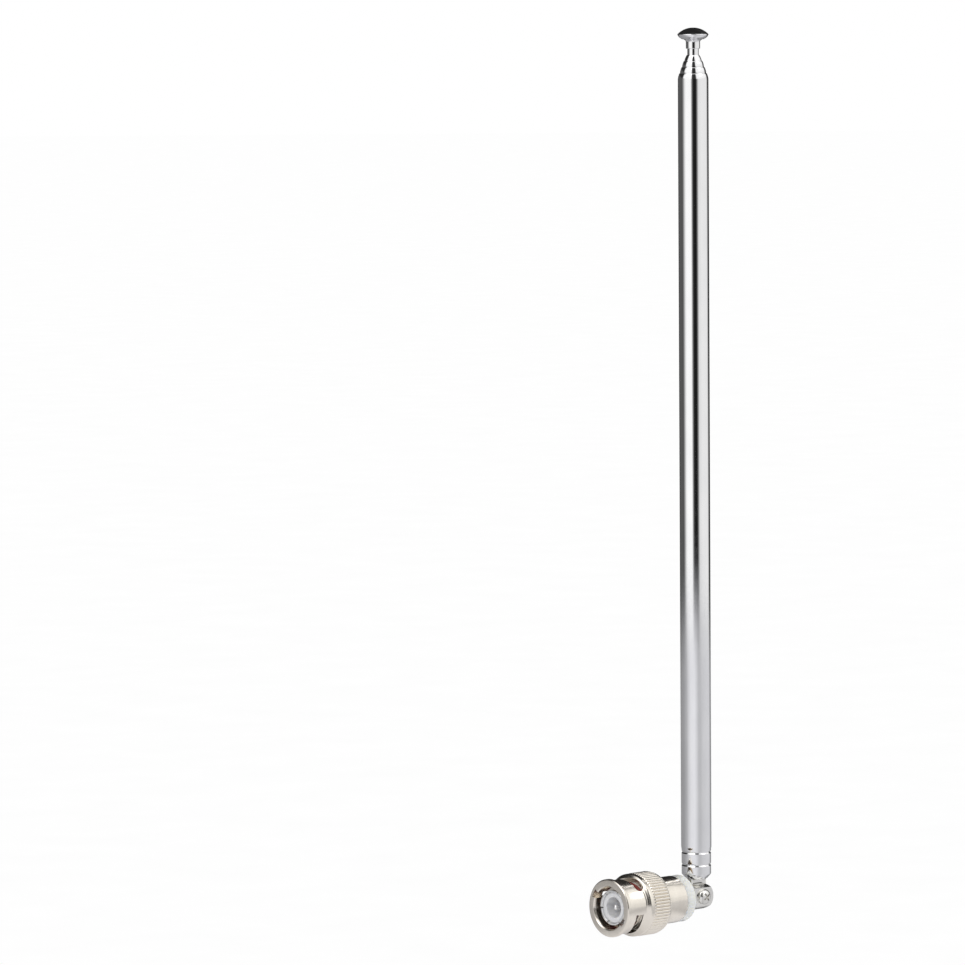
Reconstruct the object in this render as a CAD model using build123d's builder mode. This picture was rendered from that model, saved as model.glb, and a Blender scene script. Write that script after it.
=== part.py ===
from build123d import *
from math import cos, radians, sin
import os

# A telescopic whip antenna on a right-angle knuckle and a bayonet (BNC) plug.
# X runs along the plug, with the mating end towards -X.  Z runs up the whip.
# The knuckle screw lies along Y, with its head towards -Y.
# The origin is on the plug axis, at the front edge of the slotted contact ferrule.

# ---------------------------------------------------------------- driving sizes
clearance = 0.03             # radial gap of a running fit
seat = 0.02                  # radial gap of two pieces that are fixed together

# mating interface, 50 ohm bayonet plug
ferrule_radius = 4.05
ferrule_bore = 3.55
ferrule_length = 5.0
ferrule_slots = 6
ferrule_slot_turn = -5       # degrees from +Y to the first slot
ferrule_slot_width = 0.3
pin_radius = 0.675
insulator_bore = 2.42
nut_bore = 4.9
nut_mouth_bevel = 0.25
lug_path_radius = 5.85
lug_path_width = 2.1
lug_turn = 90                # degrees from the entry to the detent
entry_angles = (32, 212)     # measured about X, from +Y towards +Z

# coupling nut
nut_front = -1.2
nut_ring_radius = 6.65
nut_waist_radius = 6.2
nut_flange_radius = 7.2
nut_knurl_radius = 7.25
nut_rear = 12.4
nut_shell_bore = 6.0
knurl_front = 6.9
knurl_length = 4.7
knurl_teeth = 60
knurl_root = 6.95
nut_float = 0.55             # axial travel against the wave washer

# inner body and rear sleeve
hub_radius = 4.3
flange_front = 6.8
flange_rear = 8.0
journal_radius = 4.7
sleeve_front = 11.2
sleeve_radius = 5.4
sleeve_rear = 18.8
thread_radius = 4.3
thread_end = 13.4
rear_insulator_end = 21.7
spigot_front = 15.0
spigot_radius = 4.4

# knuckle
pivot_x = 26.6
fork_radius = 3.15
fork_flat = 2.35             # half the distance across the two outer flats
fork_flat_front = 23.2
slot_half = 1.05
slot_floor = 23.4
stud_radius = 1.5
stud_tip = 11.8
screw_radius = 1.0
head_radius = 1.75
head_height = 1.1
tongue_half = 0.78
tongue_radius = 2.6
tongue_half_width = 2.35

# whip, heights above the knuckle pivot
outer_radii = (3.5, 3.0, 2.5, 2.0)   # the four tubes, largest first
rod_radius = 1.3
wall = 0.25
tube_foot = 4.15             # rolled-in lower edge of the outer tube
shoulder = 188.05            # where the outer tube starts to taper
taper = 1.4                  # height of each tube's rolled-in tip
plug_top = 13.0
crimp_heights = (7.4, 10.3)
base_radius = 3.4            # the outer tube is swaged down over its plug
sleeve_length = 9.0
inner_foot = 14.6            # lower end of the second tube
foot_step = 0.6              # each further section starts this much higher
rod_top = 198.0
knob_radius = 3.55
knob_collar_foot = 195.05
knob_collar_radius = 1.62
knob_top = 199.85

whip_axis = Axis((pivot_x, 0, 0), (0, 0, 1))
screw_axis = Axis((pivot_x, 0, 0), (0, 1, 0))

os.makedirs("parts", exist_ok=True)


def save(node, label):
    """Label a finished piece and write it under the same name."""
    node.part.label = label
    export_step(node.part, f"parts/{label}.step")


def plug_face(outline):
    """Half section of a piece turned about the plug axis, from (x, radius) points."""
    with BuildSketch(Plane.XZ) as section:
        with BuildLine():
            Polyline(*outline, close=True)
        make_face()
    return section.sketch


def whip_face(outline):
    """Half section of a piece turned about the whip axis, from (radius, z) points."""
    with BuildSketch(Plane.XZ) as section:
        with BuildLine():
            Polyline(*[(pivot_x + r, z) for r, z in outline], close=True)
        make_face()
    return section.sketch


def radial_plane(x, radius, angle):
    """Plane that faces outwards from the plug axis, its x axis along +X."""
    outwards = (0, cos(radians(angle)), sin(radians(angle)))
    origin = (x, radius * outwards[1], radius * outwards[2])
    return Plane(origin=origin, x_dir=(1, 0, 0), z_dir=outwards)


def axial_plane(angle):
    """Half plane through the plug axis, its x axis along +X and its y axis outwards."""
    return Plane(origin=(0, 0, 0), x_dir=(1, 0, 0),
                 z_dir=(0, -sin(radians(angle)), cos(radians(angle))))


# ---------------------------------------------------------------- connector core
# Outer contact: a thin sleeve slotted into spring fingers, stepped down to its seat.
ferrule_seat = 3.8
ferrule_end = 9.0
with BuildPart() as contact_ferrule:
    revolve(plug_face([
        (0, ferrule_bore), (0, ferrule_radius - 0.1), (0.1, ferrule_radius),
        (ferrule_length, ferrule_radius), (ferrule_length, ferrule_seat),
        (ferrule_end, ferrule_seat), (ferrule_end, ferrule_bore)]), axis=Axis.X)
    with BuildSketch(Plane.YZ):
        with PolarLocations(ferrule_radius, ferrule_slots, start_angle=ferrule_slot_turn):
            Rectangle(1.6, ferrule_slot_width)
    extrude(amount=ferrule_length - 0.6, mode=Mode.SUBTRACT)
save(contact_ferrule, "contact_ferrule")

# Front insulator: a cup round the centre pin.
insulator_radius = 3.5
insulator_front = 0.4
cup_floor = 5.6
insulator_end = 10.6
pin_body_radius = 1.0
pin_tail_radius = 0.5
pin_body_end = 10.0
with BuildPart() as front_insulator:
    revolve(plug_face([
        (insulator_front, insulator_bore), (insulator_front, insulator_radius - 0.1),
        (insulator_front + 0.1, insulator_radius), (insulator_end, insulator_radius),
        (insulator_end, pin_tail_radius + seat), (pin_body_end, pin_tail_radius + seat),
        (pin_body_end, pin_body_radius + seat), (cup_floor, pin_body_radius + seat),
        (cup_floor, insulator_bore)]), axis=Axis.X)
save(front_insulator, "front_insulator")

# Centre pin: rounded tip, thicker body held in the insulator, tail into the stud.
pin_tip = 0.6
pin_tail_end = 13.0
with BuildPart() as center_pin:
    with BuildSketch(Plane.XZ):
        with BuildLine():
            RadiusArc((pin_tip, 0), (pin_tip + pin_radius, pin_radius), pin_radius)
            Polyline((pin_tip + pin_radius, pin_radius), (cup_floor, pin_radius),
                     (cup_floor, pin_body_radius), (pin_body_end, pin_body_radius),
                     (pin_body_end, pin_tail_radius), (pin_tail_end, pin_tail_radius),
                     (pin_tail_end, 0), (pin_tip, 0))
        make_face()
    revolve(axis=Axis.X)
save(center_pin, "center_pin")

# Inner body: hub for the gasket, flange that the nut pulls on, journal and thread.
body_bore = 3.4
body_lip = 2.2
with BuildPart() as connector_body:
    revolve(plug_face([
        (ferrule_length, ferrule_seat + seat), (ferrule_length, hub_radius),
        (flange_front, hub_radius), (flange_front, nut_shell_bore - clearance - 0.15),
        (flange_front + 0.15, nut_shell_bore - clearance),
        (flange_rear, nut_shell_bore - clearance), (flange_rear, journal_radius),
        (sleeve_front, journal_radius), (sleeve_front, thread_radius),
        (thread_end, thread_radius), (thread_end, body_bore),
        (sleeve_front, body_bore), (sleeve_front, body_lip),
        (insulator_end, body_lip), (insulator_end, insulator_radius + seat),
        (ferrule_end, insulator_radius + seat), (ferrule_end, ferrule_seat + seat)]),
        axis=Axis.X)
save(connector_body, "connector_body")

# Silicone face gasket in front of the flange, where the socket's rim lands.
gasket_front = 4.9
gasket_radius = 5.45
with BuildPart() as face_gasket:
    revolve(plug_face([
        (gasket_front, hub_radius + seat), (gasket_front, gasket_radius - 0.1),
        (gasket_front + 0.1, gasket_radius), (flange_front, gasket_radius),
        (flange_front, hub_radius + seat)]), axis=Axis.X)
save(face_gasket, "face_gasket")

# ---------------------------------------------------------------- coupling nut group
# Wave washer, drawn at its flattened height so that the nut can float forwards.
wave_thickness = 0.25
wave_rise = 0.2
wave_count = 3
wave_inner = 4.8
wave_outer = 5.75


def wave_path(radius):
    """Closed wavy line round the plug axis."""
    steps = 12 * wave_count
    points = []
    for step in range(steps):
        turn = radians(360 * step / steps)
        lift = wave_rise * (1 - cos(wave_count * turn)) / 2
        points.append((flange_rear + lift, radius * cos(turn), radius * sin(turn)))
    return Spline(*points, periodic=True)


with BuildPart() as wave_washer:
    with BuildLine():
        inner_wave = wave_path(wave_inner)
    with BuildLine():
        outer_wave = wave_path(wave_outer)
    wave_face = Face.make_surface_from_curves(inner_wave.edge(), outer_wave.edge())
    add(Solid.extrude(wave_face, (wave_thickness, 0, 0)))
save(wave_washer, "wave_washer")

thrust_front = flange_rear + wave_rise + wave_thickness + nut_float + 0.05
thrust_thickness = 0.35
ring_front = thrust_front + thrust_thickness
ring_thickness = 0.7
with BuildPart() as thrust_washer:
    with BuildSketch(Plane.YZ.offset(thrust_front)):
        Circle(nut_shell_bore - 0.1)
        Circle(journal_radius + 0.1, mode=Mode.SUBTRACT)
    extrude(amount=thrust_thickness)
save(thrust_washer, "thrust_washer")

# Spring ring that snaps into the nut's inner groove, open over 50 degrees at the bottom.
groove_radius = 6.35
groove_gap = 0.05
with BuildPart() as retaining_ring:
    with BuildSketch(Plane.YZ.offset(ring_front)):
        Circle(groove_radius - groove_gap)
        Circle(sleeve_radius - 0.25, mode=Mode.SUBTRACT)
        with BuildLine():
            Polyline((0, 0), (-3.5, -7.5), (3.5, -7.5), close=True)
        make_face(mode=Mode.SUBTRACT)
    extrude(amount=ring_thickness)
save(retaining_ring, "retaining_ring")

# Ways for the socket's two lugs: straight in from the mouth under the front ring, then a
# slot right through the waist, whose short arcs draw the lug in as the nut turns.
lug_start = nut_front + 4.1
lug_end = nut_front + 5.4
lug_half = 10                # degrees that half a lug covers
slot_lead = 20               # degrees that the slot runs back past the entry
slot_overrun = 10            # degrees that it runs on past the detent
slot_steps = 20
slot_arc = (slot_lead + lug_turn + slot_overrun) / slot_steps
way_foot = nut_bore - 0.4
way_middle = (way_foot + lug_path_radius) / 2
slot_depth = 2.4
with BuildPart() as lug_ways:
    for entry in entry_angles:
        for step in range(slot_steps):
            angle = entry - slot_lead + step * slot_arc
            share = min(1, max(0, (angle + slot_arc / 2 - entry) / lug_turn))
            place = lug_start + share * (lug_end - lug_start)
            with BuildSketch(axial_plane(angle)):
                with Locations((place, way_foot)):
                    Rectangle(lug_path_width, slot_depth, align=(Align.CENTER, Align.MIN))
            revolve(axis=Axis.X, revolution_arc=slot_arc)
        with BuildSketch(axial_plane(entry - lug_half)):
            with Locations((nut_front - 0.5, way_middle)):
                Rectangle(lug_start - nut_front + 0.5, lug_path_radius - way_foot,
                          align=(Align.MIN, Align.CENTER))
        revolve(axis=Axis.X, revolution_arc=2 * lug_half)

# Coupling nut: front ring, plain waist, flared flange, knurled grip.
cavity_radius = 5.55
cavity_front = 4.5
inner_shoulder = flange_front - 0.1
flare = 0.9
flare_start = 4.6
flange_band = 5.7
flange_band_end = 6.6
knurl_rear = knurl_front + knurl_length
with BuildPart() as coupling_nut:
    with BuildSketch(Plane.XZ):
        with BuildLine():
            Polyline((flare_start, nut_waist_radius), (nut_front + 1.1, nut_waist_radius),
                     (nut_front + 1.1, 6.45), (nut_front + 0.9, nut_ring_radius),
                     (nut_front + 0.22, nut_ring_radius), (nut_front, nut_ring_radius - 0.22),
                     (nut_front, nut_bore + nut_mouth_bevel),
                     (nut_front + nut_mouth_bevel, nut_bore),
                     (cavity_front, nut_bore), (cavity_front, cavity_radius),
                     (inner_shoulder, cavity_radius), (inner_shoulder, nut_shell_bore),
                     (ring_front - groove_gap, nut_shell_bore),
                     (ring_front - groove_gap, groove_radius),
                     (ring_front + ring_thickness + groove_gap, groove_radius),
                     (ring_front + ring_thickness + groove_gap, nut_shell_bore),
                     (nut_rear - 0.2, nut_shell_bore), (nut_rear, nut_shell_bore + 0.2),
                     (nut_rear, 6.7), (nut_rear - 0.3, 7.0), (knurl_rear + 0.15, 7.0),
                     (knurl_rear + 0.15, 7.1), (knurl_rear, nut_knurl_radius),
                     (knurl_front + 0.15, nut_knurl_radius), (knurl_front, 7.1),
                     (knurl_front, knurl_root), (flange_band_end, knurl_root),
                     (flange_band_end, 7.05), (flange_band_end - 0.15, nut_flange_radius),
                     (flange_band, nut_flange_radius), (flange_band - 0.2, 7.1),
                     (flare_start + flare, nut_waist_radius + flare))
            RadiusArc((flare_start + flare, nut_waist_radius + flare),
                      (flare_start, nut_waist_radius), flare)
        make_face()
    revolve(axis=Axis.X)
    with BuildSketch(Plane.YZ.offset(knurl_front - 0.1)):
        with PolarLocations(nut_knurl_radius, knurl_teeth):
            Rectangle(0.42, 0.42, rotation=45)
    extrude(amount=knurl_length + 0.15, mode=Mode.SUBTRACT)
    for entry in entry_angles:
        # rounded end of the slot, where the lug rests
        with BuildSketch(radial_plane(lug_end, way_foot, entry + lug_turn + slot_overrun)):
            Circle(lug_path_width / 2)
        extrude(amount=slot_depth, mode=Mode.SUBTRACT)
    add(lug_ways.part, mode=Mode.SUBTRACT)
save(coupling_nut, "coupling_nut")

# ---------------------------------------------------------------- rear of the connector
with BuildPart() as rear_sleeve:
    revolve(plug_face([
        (sleeve_front, thread_radius + seat), (sleeve_front, sleeve_radius - 0.2),
        (sleeve_front + 0.2, sleeve_radius), (sleeve_rear - 0.1, sleeve_radius),
        (sleeve_rear, sleeve_radius - 0.1), (sleeve_rear, spigot_radius + seat),
        (spigot_front, spigot_radius + seat), (spigot_front, thread_radius + seat)]),
        axis=Axis.X)
save(rear_sleeve, "rear_sleeve")

# Milky insulator that carries the knuckle: a spigot in the sleeve and a visible collar.
edge_round = 0.7
with BuildPart() as rear_insulator:
    with BuildSketch(Plane.XZ):
        with BuildLine():
            Polyline((rear_insulator_end, sleeve_radius - edge_round),
                     (rear_insulator_end, stud_radius + seat),
                     (spigot_front, stud_radius + seat), (spigot_front, spigot_radius),
                     (sleeve_rear, spigot_radius), (sleeve_rear, sleeve_radius),
                     (rear_insulator_end - edge_round, sleeve_radius))
            RadiusArc((rear_insulator_end - edge_round, sleeve_radius),
                      (rear_insulator_end, sleeve_radius - edge_round), edge_round)
        make_face()
    revolve(axis=Axis.X)
save(rear_insulator, "rear_insulator")

# Washer and hexagon nut that pull the fork's stud tight inside the sleeve.
stud_washer_thickness = 0.5
stud_nut_height = 2.4
stud_nut_front = spigot_front - stud_washer_thickness - stud_nut_height
with BuildPart() as stud_washer:
    with BuildSketch(Plane.YZ.offset(spigot_front - stud_washer_thickness)):
        Circle(3.2)
        Circle(stud_radius + seat, mode=Mode.SUBTRACT)
    extrude(amount=stud_washer_thickness)
save(stud_washer, "stud_washer")

with BuildPart() as stud_nut:
    with BuildSketch(Plane.YZ.offset(stud_nut_front)):
        RegularPolygon(2.75, 6, major_radius=False)
        Circle(stud_radius + seat, mode=Mode.SUBTRACT)
    extrude(amount=stud_nut_height)
save(stud_nut, "stud_nut")

# ---------------------------------------------------------------- knuckle
# Fork turned from round bar: stud, round nose, two outer flats, slot for the tongue.
fork_end = pivot_x + fork_radius
with BuildPart() as knuckle_fork:
    with BuildSketch(Plane.YZ.offset(rear_insulator_end)):
        Circle(fork_radius)
    extrude(amount=fork_end - rear_insulator_end)
    with BuildSketch(Plane.XZ.offset(-fork_radius)):
        with BuildLine():
            Polyline((pivot_x, fork_radius), (rear_insulator_end, fork_radius),
                     (rear_insulator_end, -fork_radius), (pivot_x, -fork_radius))
            RadiusArc((pivot_x, -fork_radius), (pivot_x, fork_radius), -fork_radius)
        make_face()
    extrude(amount=2 * fork_radius, mode=Mode.INTERSECT)
    with BuildSketch(Plane.XY.offset(-fork_radius)):
        with Locations((fork_flat_front, fork_flat), (fork_flat_front, -fork_flat - 2)):
            Rectangle(10, 2, align=(Align.MIN, Align.MIN))
        with Locations((slot_floor, 0)):
            Rectangle(10, 2 * slot_half, align=(Align.MIN, Align.CENTER))
    extrude(amount=2 * fork_radius, mode=Mode.SUBTRACT)
    with BuildSketch(Plane.XZ.offset(-fork_radius)):
        with Locations((pivot_x, 0)):
            Circle(screw_radius + seat)
    extrude(amount=2 * fork_radius, mode=Mode.SUBTRACT)
    revolve(plug_face([
        (stud_tip, pin_tail_radius + seat), (stud_tip, stud_radius - 0.2),
        (stud_tip + 0.2, stud_radius), (rear_insulator_end, stud_radius),
        (rear_insulator_end, 0), (pin_tail_end + 0.2, 0),
        (pin_tail_end + 0.2, pin_tail_radius + seat)]), axis=Axis.X)
save(knuckle_fork, "knuckle_fork")

# Screw with a rounded pan head and a cross recess.
screw_tip = fork_flat + 0.15
recess_depth = 0.55
with BuildPart() as knuckle_screw:
    with BuildSketch(Plane.XY):
        with BuildLine():
            Polyline((pivot_x, -fork_flat - head_height), (pivot_x, screw_tip),
                     (pivot_x + screw_radius - 0.15, screw_tip),
                     (pivot_x + screw_radius, screw_tip - 0.15),
                     (pivot_x + screw_radius, -fork_flat),
                     (pivot_x + head_radius, -fork_flat),
                     (pivot_x + head_radius, -fork_flat - 0.45))
            ThreePointArc((pivot_x + head_radius, -fork_flat - 0.45),
                          (pivot_x + 0.75 * head_radius, -fork_flat - 0.85 * head_height),
                          (pivot_x, -fork_flat - head_height))
        make_face()
    revolve(axis=screw_axis)
    with BuildSketch(Plane.XZ.offset(fork_flat + head_height)):
        with Locations((pivot_x, 0)):
            Rectangle(2.0, 0.42, rotation=35)
            Rectangle(2.0, 0.42, rotation=125)
    extrude(amount=-recess_depth, mode=Mode.SUBTRACT)
save(knuckle_screw, "knuckle_screw")

# Two thin friction washers, one each side of the tongue.
washer_inner = tongue_half + seat
washer_outer = slot_half - seat
with BuildPart() as friction_washers:
    for side in (-washer_outer, washer_inner):
        with BuildSketch(Plane.XZ.offset(-side)):
            with Locations((pivot_x, 0)):
                Circle(2.3)
                Circle(screw_radius + 2 * clearance, mode=Mode.SUBTRACT)
        extrude(amount=-(washer_outer - washer_inner))
save(friction_washers, "friction_washers")

# ---------------------------------------------------------------- whip
crimp_depth = 0.18
crimp_half = 0.45
plug_radius = base_radius - wall - seat
plug_foot = 3.9
rolled_foot_radius = 2.5

# Base plug: fills the swaged end of the outer tube and carries the tongue.
with BuildPart() as base_plug:
    with BuildSketch(Plane.XZ):
        with BuildLine():
            foot = [(0, plug_foot), (rolled_foot_radius - wall, plug_foot),
                    (rolled_foot_radius - wall, tube_foot + 0.2), (plug_radius, 5.4)]
            Polyline(*[(pivot_x + r, z) for r, z in foot])
            lower = 5.4
            for height in crimp_heights:
                Line((pivot_x + plug_radius, lower),
                     (pivot_x + plug_radius, height - crimp_half))
                ThreePointArc((pivot_x + plug_radius, height - crimp_half),
                              (pivot_x + plug_radius - crimp_depth, height),
                              (pivot_x + plug_radius, height + crimp_half))
                lower = height + crimp_half
            Polyline((pivot_x + plug_radius, lower), (pivot_x + plug_radius, plug_top - 0.4),
                     (pivot_x + plug_radius - 0.4, plug_top), (pivot_x, plug_top),
                     (pivot_x, plug_foot))
        make_face()
    revolve(axis=whip_axis)
    with BuildSketch(Plane.XZ.offset(-tongue_half)):
        with Locations((pivot_x, 0)):
            Rectangle(2 * tongue_half_width, plug_foot + 0.2, align=(Align.CENTER, Align.MIN))
            Circle(tongue_radius)
            Circle(screw_radius + clearance, mode=Mode.SUBTRACT)
    extrude(amount=2 * tongue_half)
save(base_plug, "base_plug")


def next_radius(index):
    """Outside radius of the section that slides inside tube number index."""
    return outer_radii[index + 1] if index + 1 < len(outer_radii) else rod_radius


def section_shoulder(index):
    """Height at which a section starts to taper, with the whip pushed in."""
    return shoulder + index * taper


def tip_outline(index):
    """Rolled-in tip of a tube, from the outside shoulder round to the inside wall."""
    radius = outer_radii[index]
    start = section_shoulder(index)
    bore = next_radius(index) + clearance
    return [(radius, start), (bore + 0.16, start + taper - 0.1), (bore + 0.08, start + taper - 0.02),
            (bore, start + taper - 0.04), (bore, start + taper - 0.5), (radius - wall, start - 0.1)]


# Outer tube: rolled over the plug at its foot and pressed into the plug's two grooves.
with BuildPart() as whip_tube_1:
    with BuildSketch(Plane.XZ):
        with BuildLine():
            lower = 5.2
            Line((pivot_x + rolled_foot_radius, tube_foot), (pivot_x + base_radius, lower))
            for height in crimp_heights:
                Line((pivot_x + base_radius, lower), (pivot_x + base_radius, height - crimp_half))
                ThreePointArc((pivot_x + base_radius, height - crimp_half),
                              (pivot_x + base_radius - crimp_depth, height),
                              (pivot_x + base_radius, height + crimp_half))
                lower = height + crimp_half
            bore = base_radius - wall
            top = [(base_radius, lower), (base_radius, 11.0), (outer_radii[0], 11.5)]
            top += tip_outline(0)
            top += [(outer_radii[0] - wall, 11.55), (bore, 11.05)]
            upper = 11.05
            Polyline(*[(pivot_x + r, z) for r, z in top])
            for height in reversed(crimp_heights):
                Line((pivot_x + bore, upper), (pivot_x + bore, height + crimp_half))
                ThreePointArc((pivot_x + bore, height + crimp_half),
                              (pivot_x + bore - crimp_depth, height),
                              (pivot_x + bore, height - crimp_half))
                upper = height - crimp_half
            foot = [(bore, upper), (bore, 5.38), (rolled_foot_radius - wall + 0.04, tube_foot + 0.14),
                    (rolled_foot_radius, tube_foot)]
            Polyline(*[(pivot_x + r, z) for r, z in foot])
        make_face()
    revolve(axis=whip_axis)
save(whip_tube_1, "whip_tube_1")


def section_foot(index):
    """Height of a sliding section's lower end, with the whip pushed in."""
    return inner_foot + (index - 1) * foot_step


def bead(radius, height, half, rise):
    """Outline points of a rolled bead or lip round the outside of a section."""
    return [(radius, height - half), (radius + rise, height - half / 2),
            (radius + rise, height + half / 2), (radius, height + half)]


# Three sliding tubes: a flared foot and a bead hold the friction sleeve between them.
lip = 0.14
for index in range(1, len(outer_radii)):
    radius = outer_radii[index]
    foot = section_foot(index)
    outline = [(radius - wall, foot), (radius + lip, foot), (radius + lip, foot + 0.3),
               (radius, foot + 0.45)]
    outline += bead(radius, foot + sleeve_length + 0.8, 0.25, 0.11)
    outline += tip_outline(index)
    with BuildPart() as whip_tube:
        revolve(whip_face(outline), axis=whip_axis)
    save(whip_tube, f"whip_tube_{index + 1}")

# Innermost section: a solid rod that ends in the knob.
rod_index = len(outer_radii)
rod_foot = section_foot(rod_index)
rod_outline = [(0, rod_foot), (rod_radius + 0.3, rod_foot), (rod_radius + 0.3, rod_foot + 0.3),
               (rod_radius, rod_foot + 0.45)]
rod_outline += bead(rod_radius, rod_foot + sleeve_length + 0.8, 0.25, 0.25)
rod_outline += [(rod_radius, rod_top), (0, rod_top)]
with BuildPart() as whip_rod:
    revolve(whip_face(rod_outline), axis=whip_axis)
save(whip_rod, "whip_rod")

# Split friction sleeves: each one rides with its section and rubs in the tube outside it.
sleeve_slit = 0.6
for index in range(1, len(outer_radii) + 1):
    inside = (outer_radii + (rod_radius,))[index] + seat
    outside = outer_radii[index - 1] - wall - clearance
    foot = section_foot(index) + 0.5
    with BuildPart() as friction_sleeve:
        with BuildSketch(Plane.XY.offset(foot)):
            with Locations((pivot_x, 0)):
                Circle(outside)
                Circle(inside, mode=Mode.SUBTRACT)
            with Locations((pivot_x + inside, 0)):
                Rectangle(2, sleeve_slit, mode=Mode.SUBTRACT)
        extrude(amount=sleeve_length)
    save(friction_sleeve, f"friction_sleeve_{index + 1}")

# Mushroom knob: domed cap with a narrow rim, belly drawn in to a collar on the rod.
rim_height = knob_top - 1.5
with BuildPart() as tip_knob:
    with BuildSketch(Plane.XZ):
        with BuildLine():
            ThreePointArc((pivot_x, knob_top), (pivot_x + 1.9, knob_top - 0.36),
                          (pivot_x + knob_radius - 0.05, rim_height + 0.06))
            Line((pivot_x + knob_radius - 0.05, rim_height + 0.06),
                 (pivot_x + knob_radius, rim_height - 0.12))
            ThreePointArc((pivot_x + knob_radius, rim_height - 0.12),
                          (pivot_x + 3.22, rim_height - 0.62), (pivot_x + 2.2, rim_height - 1.18))
            ThreePointArc((pivot_x + 2.2, rim_height - 1.18), (pivot_x + 1.78, rim_height - 1.42),
                          (pivot_x + knob_collar_radius, rim_height - 1.75))
            Polyline((pivot_x + knob_collar_radius, rim_height - 1.75),
                     (pivot_x + knob_collar_radius, knob_collar_foot + 0.12),
                     (pivot_x + knob_collar_radius - 0.12, knob_collar_foot),
                     (pivot_x + rod_radius + seat, knob_collar_foot),
                     (pivot_x + rod_radius + seat, rod_top), (pivot_x, rod_top),
                     (pivot_x, knob_top))
        make_face()
    revolve(axis=whip_axis)
save(tip_knob, "tip_knob")
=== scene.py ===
import math

import bmesh
import bpy
from mathutils import Matrix, Vector


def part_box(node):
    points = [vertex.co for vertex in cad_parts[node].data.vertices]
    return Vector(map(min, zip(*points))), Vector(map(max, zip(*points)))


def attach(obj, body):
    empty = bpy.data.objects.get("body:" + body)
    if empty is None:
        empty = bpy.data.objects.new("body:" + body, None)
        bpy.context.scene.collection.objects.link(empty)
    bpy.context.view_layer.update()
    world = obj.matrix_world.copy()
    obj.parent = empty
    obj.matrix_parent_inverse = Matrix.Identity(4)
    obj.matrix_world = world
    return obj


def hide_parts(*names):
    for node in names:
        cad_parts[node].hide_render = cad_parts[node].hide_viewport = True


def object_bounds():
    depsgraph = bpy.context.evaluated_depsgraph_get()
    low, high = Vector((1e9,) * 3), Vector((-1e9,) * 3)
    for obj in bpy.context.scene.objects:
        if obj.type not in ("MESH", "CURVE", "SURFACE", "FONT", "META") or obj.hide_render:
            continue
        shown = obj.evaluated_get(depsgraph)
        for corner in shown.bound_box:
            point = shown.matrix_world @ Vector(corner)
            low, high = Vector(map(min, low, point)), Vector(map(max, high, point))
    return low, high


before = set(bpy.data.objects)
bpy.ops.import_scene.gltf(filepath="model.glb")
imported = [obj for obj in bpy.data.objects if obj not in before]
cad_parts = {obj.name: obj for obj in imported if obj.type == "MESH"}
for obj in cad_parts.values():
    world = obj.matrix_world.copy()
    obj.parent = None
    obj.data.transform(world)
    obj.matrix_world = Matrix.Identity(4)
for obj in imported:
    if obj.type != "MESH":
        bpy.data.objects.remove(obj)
cad_low, cad_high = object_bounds()

# The shared frame: X along the plug with its mating end towards -X, Z up the whip, Y along the
# knuckle screw.  Outlines below are in millimetres, as (place along the axis, radius).
MM = 0.001
screw_low, screw_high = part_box("knuckle_screw")
nut_low, nut_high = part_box("coupling_nut")
PIVOT_X = (screw_low.x + screw_high.x) / 2 / MM
NUT_FRONT = nut_low.x / MM
NUT_REAR = nut_high.x / MM
KNOB_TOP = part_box("tip_knob")[1].z / MM

TUBE_RADII = (3.5, 3.0, 2.5, 2.0)
ROD_RADIUS = 1.3
WALL = 0.25
SHOULDER = 188.05
TAPER = 1.4
CRIMPS = (7.4, 10.3)
SLEEVE_RADIUS = 5.4
SLEEVE_REAR = 18.8
COLLAR_REAR = 21.7
FORK_RADIUS = 3.15


# ------------------------------------------------------------------------ mesh helpers
def new_piece(name, mesh_data, body, replaced, material):
    """Link a mesh as a piece that rides on a body and stands for CAD nodes."""
    piece = bpy.data.objects.new(name, mesh_data)
    bpy.context.scene.collection.objects.link(piece)
    piece.data.materials.clear()
    piece.data.materials.append(material)
    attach(piece, body)
    if replaced:
        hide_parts(*replaced)
    return piece


def smooth(mesh_data, angle=32):
    """Shade smooth, with sharp edges where faces meet at more than the angle."""
    mesh_data.shade_smooth()
    mesh_data.set_sharp_from_angle(angle=math.radians(angle))


def rounded(outline, radius=0.08, steps=3):
    """Closed outline with its corners rounded.  A point may give its own radius as a third
    number, and a corner on the axis stays as it is."""
    result = []
    count = len(outline)
    for i, point in enumerate(outline):
        here = Vector(point[:2])
        before = Vector(outline[i - 1][:2]) - here
        after = Vector(outline[(i + 1) % count][:2]) - here
        fillet = point[2] if len(point) > 2 else radius
        turn = math.pi - before.angle(after)
        if fillet <= 0 or turn < math.radians(9) or here.y < 1e-6:
            result.append((here.x, here.y))
            continue
        reach = fillet * math.tan(turn / 2)
        limit = 0.46 * min(before.length, after.length)
        if reach > limit:
            fillet *= limit / reach
            reach = limit
        start = here + before.normalized() * reach
        end = here + after.normalized() * reach
        centre = here + (before.normalized() + after.normalized()).normalized() \
            * (fillet / math.cos(turn / 2))
        arm = start - centre
        other = end - centre
        sweep = math.atan2(arm.x * other.y - arm.y * other.x, arm.dot(other))
        parts = max(2, steps + int(turn / math.radians(50)))
        for k in range(parts + 1):
            a = sweep * k / parts
            ca, sa = math.cos(a), math.sin(a)
            result.append((centre.x + arm.x * ca - arm.y * sa,
                           centre.y + arm.x * sa + arm.y * ca))
    return result


def about_plug(place, radius, angle):
    """Point at an angle about the plug axis, from +Y towards +Z."""
    return Vector((place, radius * math.cos(angle), radius * math.sin(angle))) * MM


def about_whip(place, radius, angle):
    """Point at an angle about the whip axis, from +X towards +Y."""
    return Vector((PIVOT_X + radius * math.cos(angle), radius * math.sin(angle), place)) * MM


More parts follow.
